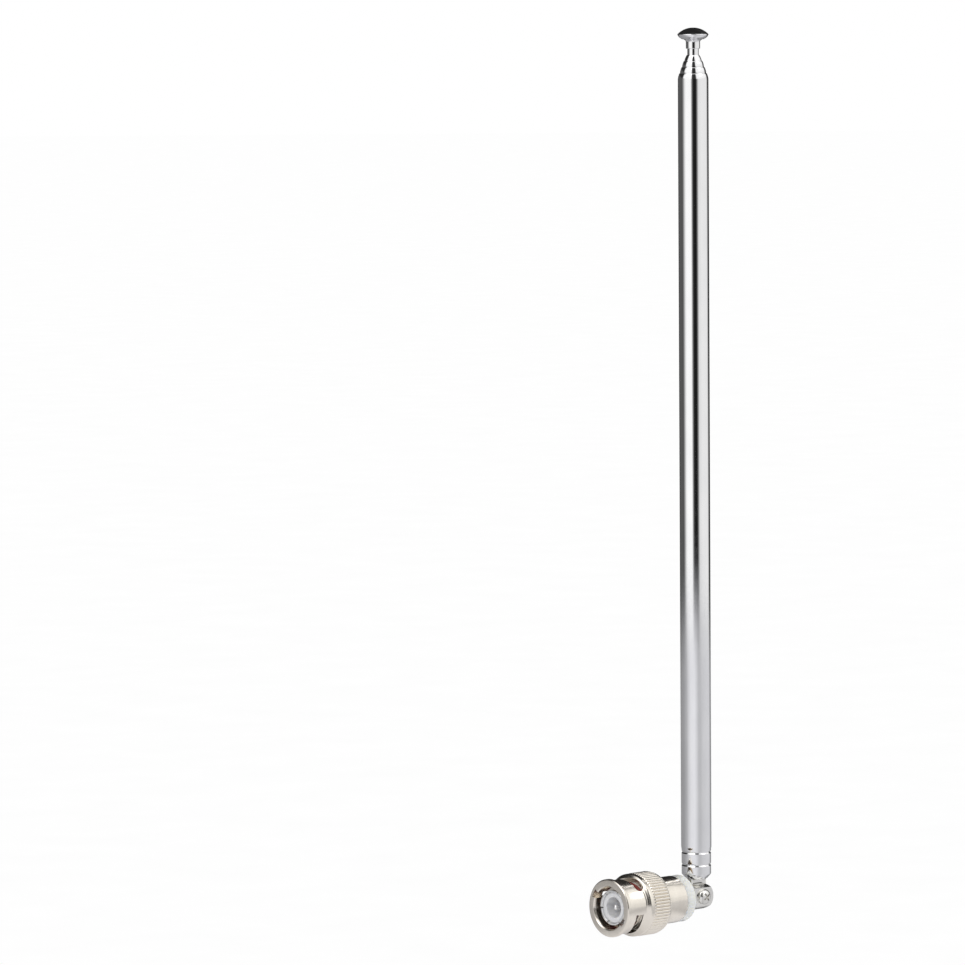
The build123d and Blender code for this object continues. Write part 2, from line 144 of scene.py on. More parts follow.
def about_screw(place, radius, angle):
    """Point at an angle about the screw axis, from +Z towards +X."""
    return Vector((PIVOT_X + radius * math.sin(angle), place, radius * math.cos(angle))) * MM


def lathe(name, outline, about, segments=96, relief=None):
    """Mesh turned from a closed outline.  relief(place, radius, angle) may change a radius."""
    bm = bmesh.new()
    rings = []
    for place, radius in outline:
        if radius < 1e-5:
            rings.append([bm.verts.new(about(place, 0, 0))])
            continue
        ring = []
        for s in range(segments):
            angle = 2 * math.pi * s / segments
            r = relief(place, radius, angle) if relief else radius
            ring.append(bm.verts.new(about(place, r, angle)))
        rings.append(ring)
    count = len(rings)
    for i in range(count):
        a, b = rings[i], rings[(i + 1) % count]
        if len(a) == 1 and len(b) == 1:
            continue
        for s in range(segments):
            t = (s + 1) % segments
            if len(a) == 1:
                bm.faces.new((a[0], b[s], b[t]))
            elif len(b) == 1:
                bm.faces.new((a[s], b[0], a[t]))
            else:
                bm.faces.new((a[s], b[s], b[t], a[t]))
    bmesh.ops.recalc_face_normals(bm, faces=bm.faces)
    data = bpy.data.meshes.new(name)
    bm.to_mesh(data)
    bm.free()
    smooth(data)
    return data


def prism(name, corners, depth, matrix):
    """Mesh of a flat outline pushed out by a depth along its own z, then placed."""
    bm = bmesh.new()
    low = [bm.verts.new(matrix @ Vector((x, y, 0))) for x, y in corners]
    high = [bm.verts.new(matrix @ Vector((x, y, depth))) for x, y in corners]
    bm.faces.new(list(reversed(low)))
    bm.faces.new(high)
    for i in range(len(corners)):
        j = (i + 1) % len(corners)
        bm.faces.new((low[i], low[j], high[j], high[i]))
    bmesh.ops.recalc_face_normals(bm, faces=bm.faces)
    data = bpy.data.meshes.new(name)
    bm.to_mesh(data)
    bm.free()
    return data


def combine(target, tools, operation="DIFFERENCE"):
    """Apply exact booleans with tool meshes to a target mesh and return the result."""
    scene = bpy.context.scene
    work = bpy.data.objects.new("work", target)
    scene.collection.objects.link(work)
    tool_objects = []
    for data in tools:
        tool = bpy.data.objects.new("tool", data)
        scene.collection.objects.link(tool)
        tool_objects.append(tool)
        step = work.modifiers.new("cut", "BOOLEAN")
        step.operation = operation
        step.solver = "EXACT"
        step.object = tool
    bpy.context.view_layer.update()
    graph = bpy.context.evaluated_depsgraph_get()
    result = bpy.data.meshes.new_from_object(work.evaluated_get(graph))
    for thing in [work] + tool_objects:
        bpy.data.objects.remove(thing)
    return result


def bevelled(data, width, segments=2, angle=30):
    """Round a mesh's sharp edges by a bevel, in millimetres."""
    work = bpy.data.objects.new("work", data)
    bpy.context.scene.collection.objects.link(work)
    step = work.modifiers.new("bevel", "BEVEL")
    step.width = width * MM
    step.segments = segments
    step.limit_method = "ANGLE"
    step.angle_limit = math.radians(angle)
    step.use_clamp_overlap = True
    bpy.context.view_layer.update()
    graph = bpy.context.evaluated_depsgraph_get()
    result = bpy.data.meshes.new_from_object(work.evaluated_get(graph))
    bpy.data.objects.remove(work)
    return result


# --------------------------------------------------------------------------- materials
def material(name):
    """New node material, with its node tree and its Principled shader."""
    made = bpy.data.materials.new(name)
    made.use_nodes = True
    tree = made.node_tree
    return made, tree, tree.nodes["Principled BSDF"]


def coordinates(tree, scale):
    """Object coordinates of the piece, scaled along each axis."""
    source = tree.nodes.new("ShaderNodeTexCoord")
    mapping = tree.nodes.new("ShaderNodeMapping")
    mapping.inputs["Scale"].default_value = scale
    tree.links.new(source.outputs["Object"], mapping.inputs["Vector"])
    return mapping.outputs["Vector"]


def noise(tree, scale, detail=3.0, roughness=0.55, size=1.0):
    """Noise texture over the piece."""
    texture = tree.nodes.new("ShaderNodeTexNoise")
    texture.inputs["Scale"].default_value = size
    texture.inputs["Detail"].default_value = detail
    texture.inputs["Roughness"].default_value = roughness
    tree.links.new(coordinates(tree, scale), texture.inputs["Vector"])
    return texture.outputs["Fac"]


def ramp(tree, value, stops):
    """Colour ramp over a value, from (position, colour or grey level) stops."""
    node = tree.nodes.new("ShaderNodeValToRGB")
    node.color_ramp.elements.remove(node.color_ramp.elements[1])
    for i, (position, colour) in enumerate(stops):
        if isinstance(colour, (int, float)):
            colour = (colour, colour, colour)
        stop = node.color_ramp.elements[0] if i == 0 else node.color_ramp.elements.new(position)
        stop.position = position
        stop.color = (*colour, 1)
    tree.links.new(value, node.inputs["Fac"])
    return node.outputs["Color"]


def bump(tree, shader, height, strength, distance, below=None):
    """Bump from a height, on top of another bump where one is given."""
    node = tree.nodes.new("ShaderNodeBump")
    node.inputs["Strength"].default_value = strength
    node.inputs["Distance"].default_value = distance
    tree.links.new(height, node.inputs["Height"])
    if below:
        tree.links.new(below, node.inputs["Normal"])
    tree.links.new(node.outputs["Normal"], shader.inputs["Normal"])
    return node.outputs["Normal"]


def plated_metal(name, light, dark, sheen_low, sheen_high, grain, grain_depth, marked=0.35,
                 pitted=0.10):
    """Plated metal: cloudy tone, uneven polish, and fine tool or drawing marks.
    grain is the noise scale along X, Y and Z in cycles per metre."""
    made, tree, shader = material(name)
    shader.inputs["Metallic"].default_value = 1.0
    cloud = noise(tree, (260, 260, 90), 4.0)
    tree.links.new(ramp(tree, cloud, [(0.3, dark), (0.7, light)]), shader.inputs["Base Color"])
    smudge = noise(tree, (700, 700, 320), 5.0, 0.62)
    tree.links.new(ramp(tree, smudge, [(0.32, sheen_low), (0.72, sheen_high)]),
                   shader.inputs["Roughness"])
    marks = noise(tree, grain, 2.0, 0.5)
    first = bump(tree, shader, marks, marked, grain_depth)
    pits = noise(tree, (2600, 2600, 2600), 1.0)
    bump(tree, shader, ramp(tree, pits, [(0.24, 0.0), (0.30, 1.0)]), pitted, grain_depth, first)
    return made


def plastic(name, light, dark, roughness, translucent=0.0, fine=900, depth=0.00002):
    """Moulded plastic: slight cloudiness, uneven gloss and a faint moulded skin."""
    made, tree, shader = material(name)
    cloud = noise(tree, (220, 220, 220), 4.0)
    tree.links.new(ramp(tree, cloud, [(0.3, dark), (0.7, light)]), shader.inputs["Base Color"])
    gloss = noise(tree, (600, 600, 600), 3.0)
    tree.links.new(ramp(tree, gloss, [(0.3, roughness * 0.8), (0.7, min(1.0, roughness * 1.25))]),
                   shader.inputs["Roughness"])
    skin = noise(tree, (fine * 3, fine * 3, fine * 3), 2.0)
    bump(tree, shader, skin, 0.2, depth)
    if translucent:
        shader.inputs["Subsurface Weight"].default_value = translucent
        shader.inputs["Subsurface Radius"].default_value = (0.0022, 0.0021, 0.0018)
        shader.inputs["Subsurface Scale"].default_value = 1.0
    return made


WHIP_CHROME = plated_metal("whip_chrome", (0.86, 0.86, 0.87), (0.80, 0.80, 0.815), 0.035, 0.085,
                           (2600, 2600, 22), 0.0000035)
KNUCKLE_CHROME = plated_metal("knuckle_chrome", (0.84, 0.83, 0.80), (0.72, 0.71, 0.69), 0.10, 0.24,
                              (1500, 1500, 1500), 0.000006)
NICKEL = plated_metal("nickel_plate", (0.84, 0.79, 0.715), (0.74, 0.69, 0.62), 0.16, 0.28,
                      (5200, 120, 120), 0.000010, 0.10, 0.03)
SILVER = plated_metal("contact_silver", (0.93, 0.93, 0.93), (0.84, 0.84, 0.845), 0.12, 0.26,
                      (4200, 300, 300), 0.000008)
BRONZE = plated_metal("spring_bronze", (0.82, 0.58, 0.36), (0.66, 0.44, 0.26), 0.20, 0.38,
                      (900, 900, 3200), 0.000008)
ZINC = plated_metal("zinc_steel", (0.72, 0.73, 0.75), (0.58, 0.59, 0.62), 0.22, 0.40,
                    (3000, 600, 600), 0.000010)
MILKY = plastic("milky_insulator", (0.91, 0.92, 0.885), (0.86, 0.87, 0.83), 0.25,
                translucent=0.7)
WHITE = plastic("white_insulator", (0.88, 0.88, 0.885), (0.80, 0.80, 0.81), 0.38, translucent=0.25)
RED = plastic("red_silicone", (0.36, 0.06, 0.045), (0.24, 0.035, 0.028), 0.5, translucent=0.08)


# -------------------------------------------------------------------- whip, turned pieces
def tube_tip(index):
    """Outline of a tube's rolled-in tip, from the outside shoulder to the inside wall."""
    radius = TUBE_RADII[index]
    inner = TUBE_RADII[index + 1] if index + 1 < len(TUBE_RADII) else ROD_RADIUS
    start = SHOULDER + index * TAPER
    bore = inner + 0.03
    lip = (start + TAPER - 0.16, bore + 0.17)
    middle = ((start + lip[0]) / 2, (radius + lip[1]) / 2 + 0.05)
    curve = arc((start, radius), middle, lip, 8)
    return [(start - 0.25, radius, 0.3)] + [(x, r, 0) for x, r in curve] + [
        (start + TAPER - 0.03, bore + 0.1, 0.07), (start + TAPER - 0.03, bore, 0.03),
        (start + TAPER - 0.5, bore, 0.2), (start - 0.1, radius - WALL, 0.5)]


def groove(height, radius, depth=0.2, half=0.3):
    """Outline of a rolled groove round a tube, from below upwards."""
    return [(height - half, radius, 0.12), (height, radius - depth, 0.14),
            (height + half, radius, 0.12)]


def outer_tube():
    base = 3.4
    outline = [(4.15, 2.5, 0.1), (5.2, base, 0.35)]
    for height in CRIMPS:
        outline += groove(height, base)
    outline += [(11.0, base, 0.8), (11.5, TUBE_RADII[0], 0.8)]
    outline += tube_tip(0)
    outline += [(11.55, TUBE_RADII[0] - WALL, 0.3), (11.05, base - WALL, 0.3)]
    for height in reversed(CRIMPS):
        outline += list(reversed(groove(height, base - WALL)))
    outline += [(5.38, base - WALL, 0.2), (4.29, 2.29, 0.05)]
    data = lathe("outer_tube", rounded(outline), about_whip, 160)
    return new_piece("outer_tube", data, "whip_base", ["whip_tube_1"], WHIP_CHROME)


def sliding_tube(index):
    radius = TUBE_RADII[index]
    foot = 14.6 + (index - 1) * 0.6
    bead = foot + 9.8
    outline = [(foot, radius - WALL, 0.05), (foot, radius + 0.14, 0.06),
               (foot + 0.3, radius + 0.14, 0.06), (foot + 0.45, radius, 0.06),
               (bead - 0.25, radius, 0.1), (bead, radius + 0.12, 0.2), (bead + 0.25, radius, 0.1)]
    outline += tube_tip(index)
    name = f"sliding_tube_{index + 1}"
    data = lathe(name, rounded(outline), about_whip, 128)
    return new_piece(name, data, f"whip_section_{index + 1}",
                     [f"whip_tube_{index + 1}"], WHIP_CHROME)


def rod():
    foot = 14.6 + 3 * 0.6
    bead = foot + 9.8
    outline = [(foot, 0), (foot, ROD_RADIUS + 0.3, 0.06), (foot + 0.3, ROD_RADIUS + 0.3, 0.06),
               (foot + 0.45, ROD_RADIUS, 0.06), (bead - 0.25, ROD_RADIUS, 0.1),
               (bead, ROD_RADIUS + 0.25, 0.2), (bead + 0.25, ROD_RADIUS, 0.1),
               (198.0, ROD_RADIUS, 0.1), (198.0, 0)]
    data = lathe("inner_rod", rounded(outline), about_whip, 96)
    return new_piece("inner_rod", data, "whip_section_5", ["whip_rod"], WHIP_CHROME)


def arc(start, middle, end, parts):
    """Points along the circle through three points, both ends included."""
    ax, ay = start
    bx, by = middle
    cx, cy = end
    d = 2 * (ax * (by - cy) + bx * (cy - ay) + cx * (ay - by))
    ux = ((ax * ax + ay * ay) * (by - cy) + (bx * bx + by * by) * (cy - ay)
          + (cx * cx + cy * cy) * (ay - by)) / d
    uy = ((ax * ax + ay * ay) * (cx - bx) + (bx * bx + by * by) * (ax - cx)
          + (cx * cx + cy * cy) * (bx - ax)) / d
    first = math.atan2(ay - uy, ax - ux)
    turn_mid = (math.atan2(by - uy, bx - ux) - first) % (2 * math.pi)
    turn_end = (math.atan2(cy - uy, cx - ux) - first) % (2 * math.pi)
    if turn_mid > turn_end:
        turn_end -= 2 * math.pi
    radius = math.hypot(ax - ux, ay - uy)
    return [(ux + radius * math.cos(first + turn_end * k / parts),
             uy + radius * math.sin(first + turn_end * k / parts)) for k in range(parts + 1)]


def knob():
    rim = KNOB_TOP - 1.5
    dome = arc((KNOB_TOP, 0.0), (KNOB_TOP - 0.36, 1.9), (rim + 0.06, 3.5), 22)
    belly = arc((rim - 0.12, 3.54), (rim - 0.62, 3.22), (rim - 1.18, 2.2), 14)
    edge = arc(dome[-1], (rim - 0.02, 3.56), belly[0], 5)
    neck = arc(belly[-1], (rim - 1.42, 1.78), (rim - 1.75, 1.62), 6)
    outline = dome + edge[1:-1] + belly + neck[1:]
    foot = 195.05
    outline += rounded([(foot + 0.9, 1.62, 0), (foot, 1.62, 0.16), (foot, 1.34, 0.03),
                        (foot + 0.9, 1.34, 0)], 0.05)
    outline += [(198.0, 1.34), (198.0, 0.0)]
    data = lathe("mushroom_knob", outline, about_whip, 128)
    return new_piece("mushroom_knob", data, "whip_section_5", ["tip_knob"],
                     WHIP_CHROME)


outer_tube()
for section in (1, 2, 3):
    sliding_tube(section)
rod()
knob()

# ----------------------------------------------------------------------- coupling nut
KNURL_FRONT = NUT_FRONT + 8.1
KNURL_REAR = KNURL_FRONT + 4.7
KNURL_TIP = 7.25
KNURL_ROOT = 6.95
KNURL_TEETH = 60
LUG_ENTRIES = (32, 212)
BORE = 4.9
LUG_RADIUS = 5.85
LUG_TURN = 90
LUG_HALF = 10
ENTRY_STEPS = 8
WAY_FOOT = BORE - 0.4
LUG_WIDTH = 2.1
SLOT_LEAD = 20
SLOT_SWEEP = 120
SLOT_STEPS = 48
SLOT_TOP = 6.9
SLOT_START = NUT_FRONT + 4.1
SLOT_RISE = 1.3
WAIST = 6.2
FLARE = 0.9
FLARE_START = NUT_FRONT + 5.8
DIAGONAL_SAG = 1 - math.sqrt(0.5)    # share of a radius between an arc's middle and its corner


def knurled(place, radius, angle):
    """Radius of the straight knurl: rounded ridges with V grooves between them."""
    if radius < KNURL_ROOT + 0.01 or not KNURL_FRONT < place < KNURL_REAR:
        return radius
    phase = (angle * KNURL_TEETH / (2 * math.pi)) % 1.0
    ridge = min(1.0, 2.5 * min(phase, 1 - phase))
    return KNURL_ROOT + (radius - KNURL_ROOT) * (1 - (1 - ridge) ** 2)


def nut_outline():
    f = NUT_FRONT
    sag = FLARE * DIAGONAL_SAG
    flare = arc((f + 6.7, 7.1), (FLARE_START + sag, WAIST + sag), (FLARE_START, WAIST), 10)
    front = rounded([(FLARE_START, WAIST, 0), (f + 1.1, WAIST, 0.12), (f + 1.1, 6.45, 0.06),
                     (f + 0.9, 6.65, 0.12), (f + 0.22, 6.65, 0.1), (f, 6.43, 0.1),
                     (f, BORE + 0.25, 0.06), (f + 0.25, BORE, 0.06), (5.2 + f, BORE, 0.1)])
    return flare + front[2:]


def sector_bar(name, angles, places, width, inner, outer):
    """Bar of rectangular section that follows angles about the plug at given places."""
    bm = bmesh.new()
    rings = []
    for angle, place in zip(angles, places):
        a = math.radians(angle)
        rings.append([bm.verts.new(about_plug(x, r, a)) for x, r in (
            (place - width / 2, inner), (place + width / 2, inner),
            (place + width / 2, outer), (place - width / 2, outer))])
    for first, second in zip(rings, rings[1:]):
        for k in range(4):
            m = (k + 1) % 4
            bm.faces.new((first[k], first[m], second[m], second[k]))
    bm.faces.new(list(reversed(rings[0])))
    bm.faces.new(rings[-1])
    bmesh.ops.recalc_face_normals(bm, faces=bm.faces)
    data = bpy.data.meshes.new(name)
    bm.to_mesh(data)
    bm.free()
    return data


def circle(radius, count=40):
    """Points round a circle."""
    turns = [2 * math.pi * k / count for k in range(count)]
    return [(radius * math.cos(t), radius * math.sin(t)) for t in turns]


def radial_frame(place, radius, angle):
    """Matrix of a plane facing outwards from the plug axis, in metres."""
    a = math.radians(angle)
    out = Vector((0, math.cos(a), math.sin(a)))
    along = Vector((1, 0, 0))
    side = out.cross(along)
    matrix = Matrix((along, side, out)).transposed().to_4x4()
    matrix.translation = Vector((place, radius * out.y, radius * out.z)) * MM
    return matrix


def in_metres(points):
    return [(x * MM, y * MM) for x, y in points]


def coupling_nut():
    f = NUT_FRONT
    outline = nut_outline()
    outline += rounded([
        (f + 5.2, BORE, 0), (f + 5.7, BORE, 0.1), (f + 5.7, 5.55, 0.05), (f + 7.9, 5.55, 0.05),
        (f + 7.9, 6.0, 0.05), (f + 10.55, 6.0, 0.05), (f + 10.55, 6.35, 0.05),
        (f + 11.35, 6.35, 0.05), (f + 11.35, 6.0, 0.05), (NUT_REAR - 0.2, 6.0, 0.08),
        (NUT_REAR, 6.2, 0.08), (NUT_REAR, 6.7, 0.12), (NUT_REAR - 0.3, 7.0, 0.1),
        (KNURL_REAR + 0.15, 7.0, 0.05), (KNURL_REAR + 0.1, 7.06, 0.05),
        (KNURL_REAR - 0.2, KNURL_TIP, 0.1), (KNURL_FRONT + 0.2, KNURL_TIP, 0.1),
        (KNURL_FRONT, 7.0, 0.05), (KNURL_FRONT - 0.05, KNURL_ROOT, 0.05),
        (f + 7.8, KNURL_ROOT, 0.05), (f + 7.8, 7.05, 0.05), (f + 7.65, 7.2, 0.08),
        (f + 6.9, 7.2, 0.08), (f + 6.7, 7.1, 0)], 0.05, 2)[1:]
    data = lathe("nut_shell", outline, about_plug, 480, knurled)
    tools = []
    for entry in LUG_ENTRIES:
        angles = [entry - SLOT_LEAD + SLOT_SWEEP * k / SLOT_STEPS for k in range(SLOT_STEPS + 1)]
        places = [SLOT_START + SLOT_RISE * min(1, max(0, (a - entry) / LUG_TURN)) for a in angles]
        tools.append(sector_bar("slot", angles, places, LUG_WIDTH, WAY_FOOT, SLOT_TOP))
        angles = [entry - LUG_HALF + 2 * LUG_HALF * k / ENTRY_STEPS for k in range(ENTRY_STEPS + 1)]
        tools.append(sector_bar("entry", angles, [f + 1.8] * len(angles), 4.6, WAY_FOOT,
                                LUG_RADIUS - 0.002))
        tools.append(prism("slot_end", in_metres(circle(LUG_WIDTH / 2)),
                           (SLOT_TOP - WAY_FOOT) * MM,
                           radial_frame(SLOT_START + SLOT_RISE, WAY_FOOT,
                                        entry - SLOT_LEAD + SLOT_SWEEP)))
    data = combine(data, tools)
    smooth(data, 34)
    return new_piece("nut_shell", data, "coupling_nut", ["coupling_nut"], NICKEL)


# --------------------------------------------------------------------- connector core
def plug_piece(name, outline, body, node, finish, segments=128, angle=32):
    data = lathe(name, outline, about_plug, segments)
    smooth(data, angle)
    return new_piece(name, data, body, [node], finish)


def ferrule():
    data = lathe("slotted_ferrule", rounded([
        (0, 3.55, 0.06), (0, 4.0, 0.1), (0.1, 4.05, 0.08), (5.0, 4.05, 0.05), (5.0, 3.8, 0),
        (9.0, 3.8, 0.05), (9.0, 3.55, 0.05)]), about_plug, 144)
    slots = []
    for k in range(6):
        box = [(-0.5 * MM, -0.15 * MM), (4.4 * MM, -0.15 * MM), (4.4 * MM, 0.15 * MM),
               (-0.5 * MM, 0.15 * MM)]
        slots.append(prism("slot", box, 1.6 * MM, radial_frame(0, 3.2, 60 * k - 5)))
    data = combine(data, slots)
    smooth(data)
    return new_piece("slotted_ferrule", data, "connector",
                     ["contact_ferrule"], SILVER)


def cup_insulator():
    return plug_piece("cup_insulator", rounded([
        (0.4, 2.42, 0.08), (0.4, 3.5, 0.12), (10.6, 3.5, 0.05), (10.6, 0.52, 0), (10.0, 0.52, 0),
        (10.0, 1.02, 0), (5.6, 1.02, 0.05), (5.6, 2.42, 0.25)]),
        "connector", "front_insulator", WHITE)


def pin():
    tip = arc((0.6, 0.0), (0.6 + 0.675 * (1 - math.sqrt(0.5)), 0.675 * math.sqrt(0.5)),
              (1.275, 0.675), 10)
    body = rounded([(5.6, 0.675, 0.03), (5.6, 1.0, 0.05), (10.0, 1.0, 0.05), (10.0, 0.5, 0.03),
                    (13.0, 0.5, 0.1), (13.0, 0.0)])
    return plug_piece("contact_pin", tip + body, "connector", "center_pin",
                      SILVER, 64)


def gasket():
    return plug_piece("silicone_gasket", rounded([
        (4.9, 4.32, 0.1), (4.9, 5.45, 0.25), (6.8, 5.45, 0.1), (6.8, 4.32, 0.02)]),
        "connector", "face_gasket", RED)


def collar():
    edge = 0.7
    bend = arc((COLLAR_REAR - edge, SLEEVE_RADIUS),
               (COLLAR_REAR - edge * DIAGONAL_SAG, SLEEVE_RADIUS - edge * DIAGONAL_SAG),
               (COLLAR_REAR, SLEEVE_RADIUS - edge), 12)
    rest = rounded([(COLLAR_REAR, 3.25, 0.1), (COLLAR_REAR, 1.52, 0), (15.0, 1.52, 0),
                    (15.0, 4.4, 0.05), (SLEEVE_REAR, 4.4, 0),
                    (SLEEVE_REAR, SLEEVE_RADIUS, 0.1)], 0.05)
    return plug_piece("knuckle_collar", bend + rest, "connector",
                      "rear_insulator", MILKY, 144, 40)


def rear_tube():
    return plug_piece("plug_sleeve", rounded([
        (11.2, 4.32, 0), (11.2, 5.2, 0.1), (11.4, 5.4, 0.15), (SLEEVE_REAR - 0.1, 5.4, 0.1),
        (SLEEVE_REAR, 5.3, 0.08), (SLEEVE_REAR, 4.42, 0), (15.0, 4.42, 0), (15.0, 4.32, 0)]),
        "connector", "rear_sleeve", NICKEL, 144)


coupling_nut()
ferrule()
cup_insulator()
pin()
gasket()
collar()
rear_tube()


# ---------------------------------------------------------------------------- knuckle
def box_prism(name, low, high):
    """Mesh of a plain block, used only as a cutter."""
    corners = [(low[0] * MM, low[1] * MM), (high[0] * MM, low[1] * MM),
               (high[0] * MM, high[1] * MM), (low[0] * MM, high[1] * MM)]
    return prism(name, corners, (high[2] - low[2]) * MM, Matrix.Translation((0, 0, low[2] * MM)))


def along_y(place):
    """Matrix of a plane facing -Y at a Y place, whose x is +X and y is +Z."""
    matrix = Matrix(((1, 0, 0), (0, 0, -1), (0, 1, 0))).to_4x4()
    matrix.translation = Vector((0, place * MM, 0))
    return matrix


def circle(x, y, radius, count=48):
    return [(x + radius * math.cos(2 * math.pi * k / count),
             y + radius * math.sin(2 * math.pi * k / count)) for k in range(count)]


def fork():
    end = PIVOT_X + FORK_RADIUS
    bar = lathe("bar", rounded([(COLLAR_REAR, 0), (COLLAR_REAR, FORK_RADIUS, 0.12),
                                (end + 1, FORK_RADIUS, 0), (end + 1, 0)]), about_plug, 72)
    nose = arc((PIVOT_X, -FORK_RADIUS), (end, 0), (PIVOT_X, FORK_RADIUS), 40)
    nose = [(COLLAR_REAR - 1, FORK_RADIUS + 0.01), (COLLAR_REAR - 1, -FORK_RADIUS - 0.01),
            (PIVOT_X, -FORK_RADIUS - 0.01)] + nose[1:-1] + [(PIVOT_X, FORK_RADIUS + 0.01)]
    data = combine(bar, [prism("nose", in_metres(nose), 10 * MM, along_y(5))], "INTERSECT")
    flat = 2.35
    cutters = [box_prism("flat", (23.2, flat, -5), (32, 6, 5)),
               box_prism("flat", (23.2, -6, -5), (32, -flat, 5)),
               box_prism("slot", (23.4, -1.05, -5), (32, 1.05, 5)),
               prism("hole", in_metres(circle(PIVOT_X, 0, 1.02)), 10 * MM, along_y(5))]
    data = combine(data, cutters)
    data = bevelled(data, 0.09, 2, 40)
    smooth(data, 50)
    new_piece("knuckle_fork_head", data, "connector", ["knuckle_fork"],
              KNUCKLE_CHROME)
    stud = lathe("fork_stud", rounded([
        (11.8, 0.52, 0), (11.8, 1.3, 0.08), (12.0, 1.5, 0.1), (COLLAR_REAR + 0.2, 1.5, 0),
        (COLLAR_REAR + 0.2, 0), (13.2, 0), (13.2, 0.52, 0)]), about_plug, 64)
    return new_piece("fork_stud", stud, "connector", ["knuckle_fork"],
                     KNUCKLE_CHROME)


def screw():
    flat = 2.35
    head = -flat - 1.1
    dome = arc((head, 0.0), (-flat - 0.935, 1.3125), (-flat - 0.45, 1.75), 14)
    rest = rounded([(-flat - 0.45, 1.75, 0), (-flat, 1.75, 0.1), (-flat, 1.0, 0.02),
                    (flat, 1.0, 0), (flat + 0.15, 0.85, 0.05), (flat + 0.15, 0.0)])
    data = lathe("cross_screw", dome + rest[1:], about_screw, 64)
    blades = []
    for turn in (35, 125):
        ca, sa = math.cos(math.radians(turn)), math.sin(math.radians(turn))
        half, thick = 1.0, 0.21
        corners = [(PIVOT_X + x * ca - z * sa, x * sa + z * ca) for x, z in (
            (-half, -thick), (half, -thick), (half, thick), (-half, thick))]
        blades.append(prism("blade", in_metres(corners), 1.2 * MM, along_y(head + 0.55)))
    data = combine(data, blades)
    data = bevelled(data, 0.035, 2, 40)
    smooth(data, 40)
    return new_piece("cross_screw", data, "connector", ["knuckle_screw"],
                     KNUCKLE_CHROME)


def base_plug():
    body = rounded([(3.9, 0, 0), (3.9, 2.25, 0.15), (4.35, 2.25, 0), (5.4, 3.13, 0),
                    (12.6, 3.13, 0), (13.0, 2.73, 0), (13.0, 0, 0)])
    data = lathe("whip_foot", body, about_whip, 72)
    tongue = [(PIVOT_X - 2.35, 0), *arc((PIVOT_X - 2.35, -1.11), (PIVOT_X, -2.6),
                                       (PIVOT_X + 2.35, -1.11), 24),
              (PIVOT_X + 2.35, 0), (PIVOT_X + 2.35, 4.1), (PIVOT_X - 2.35, 4.1)]
    plate = prism("plate", in_metres(tongue), 1.56 * MM, along_y(0.78))
    hole = prism("hole", in_metres(circle(PIVOT_X, 0, 1.03)), 4 * MM, along_y(2))
    data = combine(combine(data, [plate], "UNION"), [hole])
    data = bevelled(data, 0.06, 2, 40)
    smooth(data, 45)
    return new_piece("whip_foot", data, "whip_base", ["base_plug"],
                     KNUCKLE_CHROME)


fork()
screw()
base_plug()

# The pieces that stay as the CAD has them get their finishes.
for node, finish in {
        "connector_body": NICKEL, "retaining_ring": BRONZE, "wave_washer": BRONZE,
        "friction_washers": BRONZE, "thrust_washer": ZINC, "stud_washer": ZINC,
        "stud_nut": ZINC, "friction_sleeve_2": BRONZE, "friction_sleeve_3": BRONZE,
        "friction_sleeve_4": BRONZE, "friction_sleeve_5": BRONZE}.items():
    cad_object = bpy.data.objects[node]
    cad_object.data.materials.clear()
    cad_object.data.materials.append(finish)


# ------------------------------------------------------------------ floor, light, camera
VIEW_AZIMUTH = -41.92


def camera_frame(azimuth, pitch, roll):
    """Right, up and back directions of a camera, from degrees."""
    a, e, g = (math.radians(v) for v in (azimuth, pitch, roll))
    back = Vector((math.sin(a) * math.cos(e), -math.cos(a) * math.cos(e), math.sin(e)))
    right = Vector((math.cos(a), math.sin(a), 0))
    up = back.cross(right)
    return (math.cos(g) * right + math.sin(g) * up, -math.sin(g) * right + math.cos(g) * up, back)


def add_camera():
    right, up, back = camera_frame(VIEW_AZIMUTH, 4.82, -0.4)
    aim = Vector((PIVOT_X, 0, 100)) * MM
    data = bpy.data.cameras.new("view")
    data.sensor_width = 36
    data.lens = 233.2
    data.clip_start = 0.05
    data.clip_end = 50
    camera = bpy.data.objects.new("view", data)
    bpy.context.scene.collection.objects.link(camera)
    camera.matrix_world = Matrix.Translation(
        aim + 1.4346 * back - 0.0487 * right - 0.0043 * up) @ Matrix(
        (right, up, back)).transposed().to_4x4()
    bpy.context.scene.camera = camera


add_camera()


def floor_disc(name, height):
    """A disc under the object with a long strip behind it."""
    right, _, back = camera_frame(VIEW_AZIMUTH, 0, 0)
    outline = []
    for k in range(FLOOR_STEPS + 1):
        a = math.pi * k / FLOOR_STEPS
        outline.append(FLOOR_REACH * (math.cos(a) * right + math.sin(a) * back))
    outline.append(-FLOOR_FAR_HALF * right - FLOOR_DEPTH * back)
    outline.append(FLOOR_FAR_HALF * right - FLOOR_DEPTH * back)
    data = bpy.data.meshes.new(name)
    data.from_pydata([(p.x, p.y, 0) for p in outline], [], [tuple(range(len(outline)))])
    floor = bpy.data.objects.new(name, data)
    floor.location = (PIVOT_X * MM, 0, height)
    bpy.context.scene.collection.objects.link(floor)
    made, tree, shader = material(name + "_paper")
    floor.data.materials.append(made)
    return floor, tree, shader


